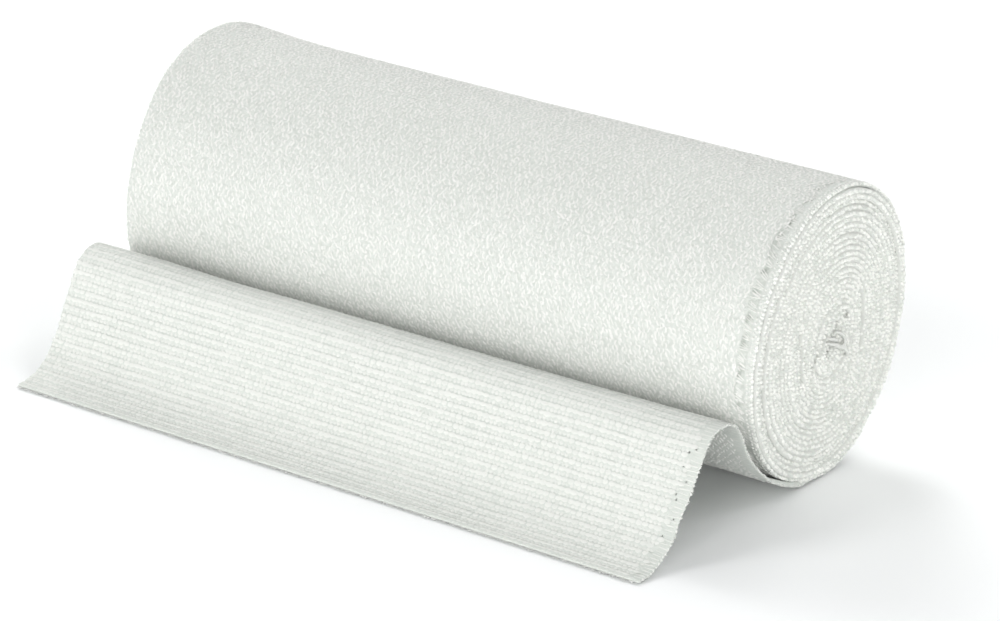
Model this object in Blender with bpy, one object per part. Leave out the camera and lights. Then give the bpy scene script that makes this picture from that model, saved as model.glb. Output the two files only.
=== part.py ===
"""Short stretch bandage, wound in a roll, with its loose end lying in front of it.

The roll's axis runs along X. The outermost turn comes down the back of the roll and passes
under it. There the cloth leaves the roll, rises in a narrow arch in front of it (towards -Y),
falls to the surface and ends in a straight cut edge. The origin is in the middle of the whole
object's box, on the surface that it lies on.

Angles round the roll are counted from its lowest line, forwards and up.
"""

import math

import bmesh
import bpy
import numpy as np

# Driving dimensions, in metres and degrees.
CLOTH_WIDTH = 0.120
CLOTH_THICKNESS = 0.0010
ROLL_RADIUS = 0.0246
FLAT_DEPTH = 0.00035
LEAVE_ANGLE = 15.0
SEAT_GAP = 0.0003
LIFT_RADIUS = 0.034
TIP_LENGTH = 0.0008

# The loose end, seen along the roll's axis. The columns are its size at the left edge and at the
# right edge of the cloth, and between the edges it changes evenly.
LOOSE_END = {
    "rise slope": (51.0, 55.0),
    "crest radius": (0.0050, 0.0064),
    "crest height": (0.0199, 0.0193),
    "fall slope": (63.0, 57.0),
    "foot radius": (0.0093, 0.0113),
}

# How fine the faces are.
TURN_STEPS = 96
ARC_STEPS = 12
STRETCH_STEPS = 3
WIDTH_STEPS = 6

# The wound ends, from the rim to the eye. The columns are the share of the roll's radius, and
# how far that turn's edge stands in from the cloth's edge.
RIGHT_END = (
    (1.00, 0.0006),
    (0.97, 0.0001),
    (0.90, 0.0000),
    (0.84, 0.0012),
    (0.78, 0.0004),
    (0.55, 0.0000),
    (0.50, 0.0010),
    (0.42, 0.0003),
    (0.16, 0.0002),
    (0.07, 0.0024),
)
LEFT_END = (
    (1.00, 0.0002),
    (0.96, 0.0000),
    (0.60, 0.0001),
    (0.54, 0.0008),
    (0.46, 0.0002),
    (0.16, 0.0003),
    (0.07, 0.0024),
)

MATERIALS = {
    "roll_cloth": (0.84, 0.86, 0.83),
    "loose_cloth": (0.87, 0.89, 0.86),
}
CLOTH_ROUGHNESS = 0.9

# Worked out from the driving dimensions.
WINDING_END = ROLL_RADIUS + CLOTH_THICKNESS / 2
AXIS_HEIGHT = WINDING_END - FLAT_DEPTH


def turn_radius(angle):
    """The roll's outer radius: it grows by one thickness of cloth from the step round to the step."""
    share = (angle - LEAVE_ANGLE) / 360
    return WINDING_END - CLOTH_THICKNESS * (1 - share)


def roll_outline():
    """(y, z) points round the roll about its axis, from the front of the step to its back."""
    points = []
    for angle in np.linspace(LEAVE_ANGLE, LEAVE_ANGLE + 360, TURN_STEPS + 1):
        radius = turn_radius(angle)
        across = -radius * math.sin(math.radians(angle))
        up = -radius * math.cos(math.radians(angle))
        points.append((across, up))
    return points


def arc(start, heading, radius, turn):
    """Points after start along an arc that turns by so many degrees. A heading of 0 runs to -Y."""
    step = turn / ARC_STEPS
    chord = 2 * radius * math.sin(math.radians(abs(step) / 2))
    return walk(start, [(heading + step * (k + 0.5), chord) for k in range(ARC_STEPS)])


def walk(start, strides):
    """Points after start, one for each stride, given as a heading in degrees and a length."""
    points = []
    across, up = start
    for heading, length in strides:
        across -= length * math.cos(math.radians(heading))
        up += length * math.sin(math.radians(heading))
        points.append((across, up))
    return points


def straight(start, heading, length):
    """Points after start along a straight stretch."""
    return walk(start, [(heading, length / STRETCH_STEPS)] * STRETCH_STEPS)


def rise_of(radius, slope):
    """The height that an arc gains as it turns between level and this slope."""
    return radius * (1 - math.cos(math.radians(slope)))


def loose_end_path(side):
    """(y, z) points along the middle of the loose end's cloth. side runs from 0, left, to 1."""
    size = {name: left + (right - left) * side for name, (left, right) in LOOSE_END.items()}
    rise_slope = size["rise slope"]
    fall_slope = size["fall slope"]
    foot_radius = size["foot radius"]
    crest = size["crest height"] - CLOTH_THICKNESS / 2
    start_radius = turn_radius(LEAVE_ANGLE) + SEAT_GAP + CLOTH_THICKNESS / 2
    leave = math.radians(LEAVE_ANGLE) + SEAT_GAP / start_radius
    path = [(-start_radius * math.sin(leave), AXIS_HEIGHT - start_radius * math.cos(leave))]
    path += arc(path[-1], LEAVE_ANGLE, LIFT_RADIUS, rise_slope - LEAVE_ANGLE)
    rise = crest - rise_of(size["crest radius"], rise_slope) - path[-1][1]
    path += straight(path[-1], rise_slope, rise / math.sin(math.radians(rise_slope)))
    path += arc(path[-1], rise_slope, size["crest radius"], -rise_slope - fall_slope)
    fall = path[-1][1] - rise_of(foot_radius, fall_slope) - CLOTH_THICKNESS / 2
    path += straight(path[-1], -fall_slope, fall / math.sin(math.radians(fall_slope)))
    path += arc(path[-1], -fall_slope, foot_radius, fall_slope)
    path += straight(path[-1], 0.0, TIP_LENGTH)
    return path


def roll_offset():
    """How far the roll's axis lies behind the origin, so that the origin is mid-way front to back."""
    front = min(path[-1][0] for path in (loose_end_path(0.0), loose_end_path(1.0)))
    back = max(across for across, up in roll_outline())
    return -(front + back) / 2


def skin(mesh, rings):
    """Joins each ring of vertices to the next with quads, and closes each ring on itself."""
    count = len(rings[0])
    for ring, after in zip(rings, rings[1:]):
        for k in range(count):
            mesh.faces.new((ring[k], ring[(k + 1) % count], after[(k + 1) % count], after[k]))


def cap(mesh, ring, centre):
    """Closes a ring of vertices with a fan round a vertex at its centre."""
    middle = mesh.verts.new(centre)
    for k in range(len(ring)):
        mesh.faces.new((ring[k], ring[(k + 1) % len(ring)], middle))


def make_object(name, mesh, material):
    """Turns a bmesh into a named, smooth-shaded object with its own material."""
    bmesh.ops.recalc_face_normals(mesh, faces=mesh.faces[:])
    data = bpy.data.meshes.new(name)
    mesh.to_mesh(data)
    mesh.free()
    data.shade_smooth()
    data.set_sharp_from_angle(angle=math.radians(40))
    data.materials.append(make_material(material))
    made = bpy.data.objects.new(name, data)
    bpy.context.collection.objects.link(made)
    return made


def make_material(name):
    """A matt cotton with the given slot's colour."""
    material = bpy.data.materials.new(name)
    material.use_nodes = True
    shader = material.node_tree.nodes["Principled BSDF"]
    shader.inputs["Base Color"].default_value = (*MATERIALS[name], 1)
    shader.inputs["Roughness"].default_value = CLOTH_ROUGHNESS
    shader.inputs["Metallic"].default_value = 0
    return material


def make_wound_roll():
    """The wound turns as one solid, with their ends stepped in and out and a flat spot below."""
    half = CLOTH_WIDTH / 2
    outline = roll_outline()
    mesh = bmesh.new()

    def ring(x, share):
        scaled = [(across * share, up * share) for across, up in outline]
        return [mesh.verts.new((x, across, max(up, -AXIS_HEIGHT))) for across, up in scaled]

    left = [ring(inset - half, share) for share, inset in reversed(LEFT_END)]
    right = [ring(half - inset, share) for share, inset in RIGHT_END]
    skin(mesh, left + right)
    cap(mesh, left[0], (LEFT_END[-1][1] - half, 0, 0))
    cap(mesh, right[-1], (half - RIGHT_END[-1][1], 0, 0))
    roll = make_object("wound_roll", mesh, "roll_cloth")
    roll.location = (0, roll_offset(), AXIS_HEIGHT)
    return roll


def make_loose_end():
    """The loose end as a sheet, from the step under the roll to its cut edge."""
    mesh = bmesh.new()
    rows = []
    for side in np.linspace(0, 1, WIDTH_STEPS + 1):
        x = (side - 0.5) * CLOTH_WIDTH
        rows.append([mesh.verts.new((x, across, up)) for across, up in loose_end_path(side)])
    for row, after in zip(rows, rows[1:]):
        for k in range(len(row) - 1):
            mesh.faces.new((row[k], after[k], after[k + 1], row[k + 1]))
    sheet = make_object("loose_end", mesh, "loose_cloth")
    sheet.location = (0, roll_offset(), 0)
    thickness = sheet.modifiers.new("thickness", "SOLIDIFY")
    thickness.thickness = CLOTH_THICKNESS
    thickness.offset = 0
    thickness.use_even_offset = True
    return sheet


def main():
    for old in list(bpy.data.objects):
        bpy.data.objects.remove(old)
    make_wound_roll()
    make_loose_end()


main()
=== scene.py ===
# %% [markdown]
# # A short stretch bandage, wound in a roll
# The real thing is one long strip of white cotton, woven with tightly twisted threads that
# crinkle and give it its stretch. It is wound in a roll, and its loose end lies in front.
# This script dresses the plain solids of the frame in that woven cloth. A weave can be
# painted, or pressed into a surface as bump, but close up it then looks flat. Here nearly all
# of the look is made of short pieces of thread, laid on the cloth by Geometry Nodes.

import math

import bpy
import numpy as np
from mathutils import Matrix, Vector


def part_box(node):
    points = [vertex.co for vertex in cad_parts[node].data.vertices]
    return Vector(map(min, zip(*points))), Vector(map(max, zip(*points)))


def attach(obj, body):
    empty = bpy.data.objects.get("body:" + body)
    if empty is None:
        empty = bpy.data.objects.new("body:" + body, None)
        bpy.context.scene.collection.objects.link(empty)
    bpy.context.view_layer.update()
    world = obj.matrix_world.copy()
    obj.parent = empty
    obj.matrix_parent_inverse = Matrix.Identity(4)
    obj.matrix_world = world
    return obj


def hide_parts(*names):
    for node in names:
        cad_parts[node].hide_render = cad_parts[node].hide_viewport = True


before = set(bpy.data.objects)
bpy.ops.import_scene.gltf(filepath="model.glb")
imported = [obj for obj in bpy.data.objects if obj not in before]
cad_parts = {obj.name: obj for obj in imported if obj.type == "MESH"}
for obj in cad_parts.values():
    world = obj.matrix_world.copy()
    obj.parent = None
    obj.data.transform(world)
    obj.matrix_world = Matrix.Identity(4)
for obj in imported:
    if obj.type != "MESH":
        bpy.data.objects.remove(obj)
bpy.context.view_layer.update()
roll_low, roll_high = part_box("wound_roll")
loose_low, loose_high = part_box("loose_end")


def in_mm(values):
    return [round(1000 * value, 1) for value in values]


print("loose end's box, mm:", in_mm((*loose_low, *loose_high)))

# %% [markdown]
# ## Sizes
# The cloth's path is the frame's own: the roll grows by one thickness of cloth in each turn,
# and the loose end is a chain of arcs and straight stretches. The same named sizes are used
# again here, so that the woven cloth lies exactly on the solids. Width and place are read
# from the frame.

# %% Sizes of the cloth and of the roll, in metres and degrees
CLOTH_WIDTH = roll_high.x - roll_low.x
CLOTH_THICKNESS = 0.0010
ROLL_RADIUS = 0.0246
FLAT_DEPTH = 0.00035
LEAVE_ANGLE = 15.0
SEAT_GAP = 0.0003
LIFT_RADIUS = 0.034
TIP_LENGTH = 0.0008
LOOSE_END = {  # at the left edge, at the right edge
    "rise slope": (51.0, 55.0),
    "crest radius": (0.0050, 0.0064),
    "crest height": (0.0199, 0.0193),
    "fall slope": (63.0, 57.0),
    "foot radius": (0.0093, 0.0113),
}
WINDING_END = ROLL_RADIUS + CLOTH_THICKNESS / 2
AXIS_HEIGHT = WINDING_END - FLAT_DEPTH
START_RADIUS = WINDING_END - CLOTH_THICKNESS / 2 + SEAT_GAP
LEAVE_TURN = math.radians(LEAVE_ANGLE) + SEAT_GAP / START_RADIUS
ARC_STEPS = 30
STRETCH_STEPS = 12

# Sizes of the weave. The picks of the weft follow each other along the cloth, and the threads
# of the warp lie side by side across it. On the inner side one rib stands up for two picks.
PICK_PITCH = 0.00075
WARP_PITCH = 0.000565
RIB_PITCH = 2 * PICK_PITCH


def turn_radius(angle):
    """The roll's outer radius at an angle counted from its lowest line, forwards and up."""
    return WINDING_END - CLOTH_THICKNESS * (1 - (angle - LEAVE_ANGLE) / 360)


AXIS_ACROSS = roll_high.y - turn_radius(270)
print("roll axis at y, z, mm:", in_mm((AXIS_ACROSS, AXIS_HEIGHT)))

# %% [markdown]
# ## Small helpers
# Nothing on a real cloth is quite even. Blender has noise textures for this, but here the
# noise also moves points, edges and thread places, so it is worked out in plain numbers: a
# fixed table of random numbers gives slow hills, the same in each run.


# %% Helpers for soft steps and soft noise
NOISE_TABLE = (97, 89)  # columns and rows, after which the noise repeats


def smooth_step(value):
    """0 below 0, 1 above 1, and an easy slope between."""
    value = np.clip(value, 0, 1)
    return value * value * (3 - 2 * value)


def window(value, start, end, rise, fall):
    """0 outside start and end. It eases up to 1 over rise, and back down over fall."""
    return smooth_step((value - start) / rise) * smooth_step((end - value) / fall)


def soft_noise(across, along, size, seed):
    """Even random hills between -1 and 1, one for each size."""
    columns, rows = NOISE_TABLE
    table = np.random.default_rng(seed).uniform(-1, 1, NOISE_TABLE)
    column = np.asarray(across) / size
    row = np.asarray(along) / size
    left = np.floor(column).astype(int)
    low = np.floor(row).astype(int)
    share = smooth_step(column - left)
    rise = smooth_step(row - low)
    corners = [table[(left + i) % columns, (low + j) % rows] for i in (0, 1) for j in (0, 1)]
    near = corners[0] + (corners[1] - corners[0]) * rise
    far = corners[2] + (corners[3] - corners[2]) * rise
    return near + (far - near) * share


def hills(across, along, height_and_size, seed):
    """Soft noise times a height."""
    height, size = height_and_size
    return height * soft_noise(across, along, size, seed)


def wander(along, height_and_size, seed):
    """Hills along a line."""
    return hills(along, 0 * along, height_and_size, seed)


# %% [markdown]
# ## The path of the cloth
# Seen along the roll's axis the cloth is a line. A ribbon keeps that line at its left and
# right edges, and finds any point between them, with the direction of the warp there and
# the direction that the cloth's outer side faces. Every later step asks the ribbon where
# things go, so the cloth, its ribs and its threads always agree.


# %% A ribbon of cloth between two edge lines
LOOK_AHEAD = 0.0003  # half the stretch from which a direction along the cloth is taken
EDGE_SHARE = 0.2  # the share of half the width that follows an uneven edge


class Ribbon:
    """A strip of cloth. along is in metres from its start, and across in metres from its middle."""

    def __init__(self, left, right, edges=None, lift=None):
        self.paths = [np.array(left, float), np.array(right, float)]
        self.runs = []
        for path in self.paths:
            steps = np.linalg.norm(np.diff(path, axis=0), axis=1)
            self.runs.append(np.concatenate([[0], np.cumsum(steps)]))
        self.length = (self.runs[0][-1] + self.runs[1][-1]) / 2
        self.edges = edges
        self.lift = lift

    def middle(self, along, side):
        """(y, z) of the cloth's middle, side running from 0 at the left edge to 1."""
        share = np.clip(along / self.length, 0, 1)
        found = []
        for path, run in zip(self.paths, self.runs):
            here = share * run[-1]
            found.append(np.stack([np.interp(here, run, path[:, k]) for k in (0, 1)], -1))
        return found[0] + (found[1] - found[0]) * side[..., None]

    def at(self, along, across):
        """The points there, the direction along the cloth, and its outward direction."""
        along, across = np.broadcast_arrays(np.asarray(along, float), np.asarray(across, float))
        side = np.clip(across / CLOTH_WIDTH + 0.5, 0, 1)
        early = np.clip(along - LOOK_AHEAD, 0, self.length - 2 * LOOK_AHEAD)
        step = self.middle(early + 2 * LOOK_AHEAD, side) - self.middle(early, side)
        step /= np.linalg.norm(step, axis=-1, keepdims=True)
        nothing = np.zeros_like(along)
        tangent = np.stack([nothing, step[..., 0], step[..., 1]], -1)
        outward = np.stack([nothing, -step[..., 1], step[..., 0]], -1)
        middle = self.middle(along, side)
        points = np.stack([across, middle[..., 0], middle[..., 1]], -1)
        if self.edges is not None:
            low, high = self.edges(along)
            reached = np.where(across < 0, -low, high) * 2 / CLOTH_WIDTH
            outwards = np.abs(across) * 2 / CLOTH_WIDTH - (1 - EDGE_SHARE)
            near_edge = smooth_step(outwards / EDGE_SHARE)
            points[..., 0] = across * (1 + (reached - 1) * near_edge)
        if self.lift is not None:
            points += outward * self.lift(along, across)[..., None]
        return points, tangent, outward


# %% The lines of the outer turn and of the loose end
OUTER_STEPS = 721
LEAVE_EASE = 24.0  # degrees over which the outer turn moves out by the gap of the seat


def walk(start, strides):
    """(y, z) points after start, one for each stride, given as a heading and a length."""
    points = []
    across, up = start
    for heading, length in strides:
        across -= length * math.cos(math.radians(heading))
        up += length * math.sin(math.radians(heading))
        points.append((across, up))
    return points


def arc(start, heading, radius, turn):
    """Points after start along an arc. A heading of 0 runs forwards, to -Y."""
    step = turn / ARC_STEPS
    chord = 2 * radius * math.sin(math.radians(abs(step) / 2))
    return walk(start, [(heading + step * (k + 0.5), chord) for k in range(ARC_STEPS)])


def straight(start, heading, length):
    """Points after start along a straight stretch."""
    return walk(start, [(heading, length / STRETCH_STEPS)] * STRETCH_STEPS)


def rise_of(radius, slope):
    """The height that an arc gains as it turns between level and this slope."""
    return radius * (1 - math.cos(math.radians(slope)))


def loose_end_line(side):
    """(y, z) points along the middle of the loose end's cloth, side from 0, left, to 1."""
    size = {name: left + (right - left) * side for name, (left, right) in LOOSE_END.items()}
    rise_slope, fall_slope = size["rise slope"], size["fall slope"]
    crest = size["crest height"] - CLOTH_THICKNESS / 2
    across = AXIS_ACROSS - START_RADIUS * math.sin(LEAVE_TURN)
    path = [(across, AXIS_HEIGHT - START_RADIUS * math.cos(LEAVE_TURN))]
    path += arc(path[-1], LEAVE_ANGLE, LIFT_RADIUS, rise_slope - LEAVE_ANGLE)
    rise = crest - rise_of(size["crest radius"], rise_slope) - path[-1][1]
    path += straight(path[-1], rise_slope, rise / math.sin(math.radians(rise_slope)))
    path += arc(path[-1], rise_slope, size["crest radius"], -rise_slope - fall_slope)
    fall = path[-1][1] - rise_of(size["foot radius"], fall_slope) - CLOTH_THICKNESS / 2
    path += straight(path[-1], -fall_slope, fall / math.sin(math.radians(fall_slope)))
    path += arc(path[-1], -fall_slope, size["foot radius"], fall_slope)
    path += straight(path[-1], 0.0, TIP_LENGTH)
    return path


def outer_turn_line():
    """(y, z) points along the middle of the outer turn's cloth, to where the loose end starts."""
    turned = np.linspace(math.radians(LEAVE_ANGLE), LEAVE_TURN + 2 * math.pi, OUTER_STEPS)
    last_turn = smooth_step((turned - turned[-1]) / math.radians(LEAVE_EASE) + 1)
    radius = turn_radius(np.degrees(turned)) - CLOTH_THICKNESS / 2 + SEAT_GAP * last_turn
    radius[-1] = START_RADIUS
    across = AXIS_ACROSS - radius * np.sin(turned)
    up = np.maximum(AXIS_HEIGHT - radius * np.cos(turned), CLOTH_THICKNESS / 2)
    return np.stack([across, up], -1)


# %% [markdown]
# ## How uneven the cloth lies
# No turn of a real roll is a true cylinder. Low on the front the outer turns sag a little,
# the cloth lies tight where the loose end leaves, and behind the top the left edge has lifted
# off by almost a millimetre. Soft hills lie over all of it. This could be sculpted by hand,
# but as formulas on the ribbon it carries the cloth and its threads along together.

# %% The outer turn and the loose end as ribbons
SAG = 0.00035
SAG_ARC = (12, 112, 34, 45)  # start and end, and how far it eases in and out, in degrees
LEAN = 0.00095  # how far the left edge stands off behind the top
LEAN_ARC = (105, 250, 45, 50)
LEAN_WIDTH = 0.011  # how far in from the left edge it reaches
LEAVE_DRAW = 0.00042  # how much tighter the cloth lies where the loose end leaves
LEAVE_ARC = (340, 35)  # where it starts to tighten, and over how many degrees
LEAVE_LENGTH = 0.018
OUTER_HILLS = (0.00011, 0.017)  # the height and the size of the hills
OUTER_HILL_ARC = (30, 330, 20, 20)
LOOSE_HILLS = (0.00018, 0.016)
LOOSE_HILL_ENDS = (0.008, 0.012)
OUTER_DRAWN_IN = (0.0002, 0.0003)  # at the left and the right edge
OUTER_WANDER = (0.00012, 0.0040)  # how far the edges stray, and over what length
LOOSE_WANDER = (0.00015, 0.0035)


def sag(angle):
    """How far the outer turns sag outwards, low on the front side. angle is in degrees."""
    return SAG * window(angle, *SAG_ARC)


def turn_angle(along):
    """The angle round the roll, in degrees from its lowest line, at a place on the outer turn."""
    return LEAVE_ANGLE + 360 * along / outer_length


def outer_lift(along, across):
    """How far the outer turn lies outside its line."""
    angle = turn_angle(along)
    from_left = (across + CLOTH_WIDTH / 2) / LEAN_WIDTH
    lean = LEAN * window(angle, *LEAN_ARC) * np.exp(-(from_left**1.5))
    tight = LEAVE_DRAW * smooth_step((angle - LEAVE_ARC[0]) / LEAVE_ARC[1])
    uneven = window(angle, *OUTER_HILL_ARC) * hills(across, along, OUTER_HILLS, 3)
    return lean + sag(angle) - tight + uneven


def outer_edges(along):
    """Where the left and the right edge lie, across the roll."""
    uneven = wander(along, OUTER_WANDER, 5)
    left, right = OUTER_DRAWN_IN
    return -CLOTH_WIDTH / 2 + left + uneven, CLOTH_WIDTH / 2 - right + uneven


def loose_lift(along, across):
    """How far the loose end lies outside its line."""
    free = window(along, 0, loose_length, *LOOSE_HILL_ENDS)
    tight = LEAVE_DRAW * (1 - smooth_step(along / LEAVE_LENGTH))
    return free * hills(across, along, LOOSE_HILLS, 7) - tight


def loose_edges(along):
    uneven = wander(along, LOOSE_WANDER, 9)
    return -CLOTH_WIDTH / 2 - uneven, CLOTH_WIDTH / 2 + uneven


outer_line = outer_turn_line()
outer_turn = Ribbon(outer_line, outer_line, outer_edges, outer_lift)
outer_length = outer_turn.length
loose_end = Ribbon(loose_end_line(0), loose_end_line(1), loose_edges, loose_lift)
loose_length = loose_end.length
outer_ribs = round(outer_length / RIB_PITCH)
loose_ribs = round(loose_length / RIB_PITCH)
print("lengths, mm:", in_mm((outer_length, loose_length)))
print("ribs:", outer_ribs, loose_ribs)

# %% [markdown]
# ## The inner turns
# Under the outer turn the cloth winds on inwards for more than twenty turns. Their edges
# make the two round ends of the roll: some turns stand out, some were drawn in and leave a
# groove, and in the middle the first turns were folded flat round nothing, so that the eye
# is a slit. Rings side by side would look much the same, but the real thing is one long
# strip, so it is one spiral here, and a few rows say how far its edges stand out.

# %% The spiral of the inner turns
TURN_PITCH = 0.00090
GROOVE_WIDTH = 0.00003
GROOVE_RADII = (0.0195, 0.0158, 0.0096)
GROOVE_TURNS = 0.6  # how many turns it takes the spiral to step in by a groove
PITCH_WITH_GROOVES = TURN_PITCH + 0.00004
SPIRAL_STEP = 0.00095  # from point to point, but never more than the largest turn
LARGEST_TURN = math.radians(18)
EYE_RADIUS = 0.0004


def spiral_turns():
    """Radii and angles of the spiral's points, from the eye outwards."""
    radii, angles = [], []
    turned = 0.0
    outside = turn_radius(LEAVE_ANGLE) - CLOTH_THICKNESS / 2
    radius = outside
    while radius > EYE_RADIUS:
        radii.append(radius)
        angles.append(math.radians(LEAVE_ANGLE) - turned)
        turned += min(SPIRAL_STEP / radius, LARGEST_TURN)
        turns = turned / (2 * math.pi)
        radius = outside - TURN_PITCH * turns
        for groove in GROOVE_RADII:
            start = (outside - groove) / PITCH_WITH_GROOVES
            radius -= GROOVE_WIDTH * float(smooth_step((turns - start) / GROOVE_TURNS + 0.5))
    return np.array(radii[::-1]), np.array(angles[::-1])


# %% The spiral pressed into its real shape
EYE_STRETCH = 0.0031  # how far the first turns are drawn out into a slit
EYE_FADE = 0.0056
EYE_SLANT = math.radians(46.0)
EYE_DROP = 0.0010
EYE_DROP_FADE = 0.0080
TURN_WOBBLE = (0.00006, 6.0)
NOISE_RING = 12.0  # the noise is read on rings that move on, so that it differs in each turn
NOISE_START = 40.0
SAGGING_FROM = (0.0185, 0.0040)  # the radius where turns start to sag, and over which all do
PRESSED_FROM = 0.0225  # turns outside this radius lie flat under the roll


def spiral_line(radii, angles):
    """(y, z) points of the spiral, from the eye outwards."""
    ring = np.stack([-np.sin(angles), -np.cos(angles)], -1)
    slit = np.array([math.cos(EYE_SLANT), math.sin(EYE_SLANT)])
    stretch = EYE_STRETCH * np.exp(-radii / EYE_FADE)
    around = NOISE_RING * np.cos(angles) + NOISE_START
    outwards = NOISE_RING * np.sin(angles) + radii * 1000
    wobble = hills(around, outwards, TURN_WOBBLE, 11)
    loose = smooth_step((radii - SAGGING_FROM[0]) / SAGGING_FROM[1])
    reach = radii + wobble + loose * sag(np.degrees(angles) % 360)
    points = ring * reach[:, None] + slit * ((ring @ slit) * stretch)[:, None]
    points[:, 1] -= EYE_DROP * np.exp(-radii / EYE_DROP_FADE)
    above_outer_turn = 1.5 * CLOTH_THICKNESS - AXIS_HEIGHT
    pressed = np.maximum(points[:, 1], above_outer_turn)
    points[:, 1] = np.where(radii > PRESSED_FROM, pressed, points[:, 1])
    return points + np.array([AXIS_ACROSS, AXIS_HEIGHT])


spiral_radii, spiral_angles = spiral_turns()
spiral = spiral_line(spiral_radii, spiral_angles)
inner_turns = Ribbon(spiral, spiral)
spiral_run = inner_turns.runs[0]
print("inner cloth, mm:", round(1000 * inner_turns.length), "steps:", len(spiral))

# %% How far the edges of the inner turns stand out
RIGHT_END = (  # radius of the turn, how far its edge stands out, in millimetres
    (24.6, -0.20), (23.6, -0.15), (22.4, 0.0), (21.7, -0.25), (21.0, -0.25), (20.2, 0.1),
    (18.9, 0.15), (17.4, 0.25), (16.8, 0.05), (16.0, 0.25), (12.0, 0.50), (10.4, 0.50),
    (8.5, 0.55), (6.4, 0.65), (5.6, 0.3), (4.9, 0.50), (3.0, 0.8), (1.8, 0.7), (0.4, 0.3),
)
LEFT_END = (
    (24.6, -0.2), (22.0, 0.2), (16.0, 0.3), (15.2, 0.0), (14.5, 0.2), (11.8, 0.3), (11.0, 0.0),
    (10.2, 0.3), (5.0, 0.4), (3.0, 0.1), (1.8, -0.4), (0.8, -1.4),
)
TURN_STRAY = (0.00013, 0.0009)  # from turn to turn
EDGE_STRAY = (0.00012, 0.0050)  # and along each turn
DRAWN_IN = (  # from and to: millimetres backwards and up from the axis; then depth and reach
    ((3.1, 3.0), (3.3, 2.7), 4.5, 0.42),
    ((0.2, 2.0), (0.5, 1.4), 1.2, 0.45),
    ((-3.4, 0.5), (-4.4, -1.4), 1.3, 0.45),
    ((-4.4, -1.4), (-6.6, -4.2), 1.1, 0.45),
    ((7.2, 6.2), (8.8, 1.0), 1.3, 0.45),
    ((8.8, 1.0), (9.3, -4.6), 1.2, 0.45),
    ((-11.2, 3.0), (-9.8, -5.0), 1.2, 0.45),
)


def drawn_in(along):
    """How far the right edge is drawn in at the few places where it was pulled, in millimetres."""
    place = [np.interp(along, spiral_run, spiral[:, k]) for k in (0, 1)]
    place = 1000 * (np.stack(place, -1) - (AXIS_ACROSS, AXIS_HEIGHT))
    depths = []
    for start, end, depth, reach in DRAWN_IN:
        line = np.subtract(end, start)
        share = np.clip((place - start) @ line / (line @ line), 0, 1)
        distance = np.linalg.norm(place - start - share[..., None] * line, axis=-1)
        depths.append(depth * np.exp(-((distance / reach) ** 2)))
    return np.max(depths, axis=0)


def inner_edges(along):
    radii = np.interp(along, spiral_run, spiral_radii)
    found = []
    for rows, seed in ((LEFT_END, 13), (RIGHT_END, 17)):
        rows = np.array(sorted(rows)) / 1000
        out = np.interp(radii, rows[:, 0], rows[:, 1])
        stray = wander(radii, TURN_STRAY, seed) + wander(along, EDGE_STRAY, seed + 1)
        found.append(CLOTH_WIDTH / 2 + out + stray)
    return -found[0], found[1] - drawn_in(along) / 1000


inner_turns.edges = inner_edges
edge_places = inner_edges(spiral_run)
print("left ends, mm:", in_mm((edge_places[0].min(), edge_places[0].max())))
print("right ends, mm:", in_mm((edge_places[1].min(), edge_places[1].max())))

# %% [markdown]
# ## The cotton
# Bleached cotton isn't one flat white. Each thread takes the light a little differently,
# the cloth is faintly green-grey in its hollows, which is painted shade, and loose fibres
# give it a soft sheen at the edges. The material mixes two tints by a noise and by the tone
# that each thread carries, and its bump is the fine lay of fibres. Four cottons are made
# this way. The ground is more mottled than the threads on it, and greyer as painted shade
# between them. The cotton of the loose end, which shows the cloth's inner side, is a
# greyer copy, painted shade, and the loops at the roll's edges get a whiter copy, painted
# light.


# %% Helpers for nodes
def fill(made, inputs):
    """Gives each input of a node a value, or links another node's output to it."""
    for key, value in inputs.items():
        if isinstance(value, bpy.types.NodeSocket):
            made.id_data.links.new(value, made.inputs[key])
        else:
            made.inputs[key].default_value = value


def node(tree, kind, inputs=None, **settings):
    """A new node with its settings made and its inputs filled."""
    made = tree.nodes.new(kind)
    for key, value in settings.items():
        setattr(made, key, value)
    fill(made, inputs or {})
    return made


# %% A procedural cotton
COTTON_SURFACE = {
    "Roughness": 0.92,
    "Specular IOR Level": 0.15,
    "Sheen Weight": 0.12,
    "Sheen Roughness": 0.6,
}
BUMP_DEPTH = 0.0002
CLOUDS = (550, 0.7)  # the noise's scale, and its share in the mix of the two tints
GROUND_CLOUDS = (1700, 1.2)
FIBRES = (0.00035, 0.35)  # their size, and the strength of the bump
GROUND_FIBRES = (0.00030, 0.9)


def cotton(name, tints, fibres, clouds):
    """A white cotton between two tints, the bright one and the shade."""
    material = bpy.data.materials.new(name)
    material.use_nodes = True
    tree = material.node_tree
    place = node(tree, "ShaderNodeTexCoord").outputs["Object"]
    tone = node(tree, "ShaderNodeAttribute", attribute_name="tone").outputs["Fac"]
    scale, share = clouds
    cloud = node(tree, "ShaderNodeTexNoise", {"Vector": place, "Scale": scale, "Detail": 3})
    mix = {0: cloud.outputs["Fac"], 1: share, 2: tone}
    mix = node(tree, "ShaderNodeMath", mix, operation="MULTIPLY_ADD").outputs[0]
    bright, shade = tints
    # Inputs 6 and 7 are the Mix node's two colours, and output 2 is the mixed one.
    tint = {"Factor": mix, 6: (*shade, 1), 7: (*bright, 1)}
    tint = node(tree, "ShaderNodeMix", tint, data_type="RGBA", clamp_factor=True)
    fibre_size, strength = fibres
    lay = {"Vector": place, "Scale": 1 / fibre_size, "Detail": 2, "Distortion": 0.6}
    lay = node(tree, "ShaderNodeTexNoise", lay).outputs["Fac"]
    bump = {"Strength": strength, "Distance": BUMP_DEPTH, "Height": lay}
    bump = node(tree, "ShaderNodeBump", bump).outputs["Normal"]
    surface = {"Base Color": tint.outputs[2], "Normal": bump, **COTTON_SURFACE}
    fill(tree.nodes["Principled BSDF"], surface)
    return material


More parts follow.
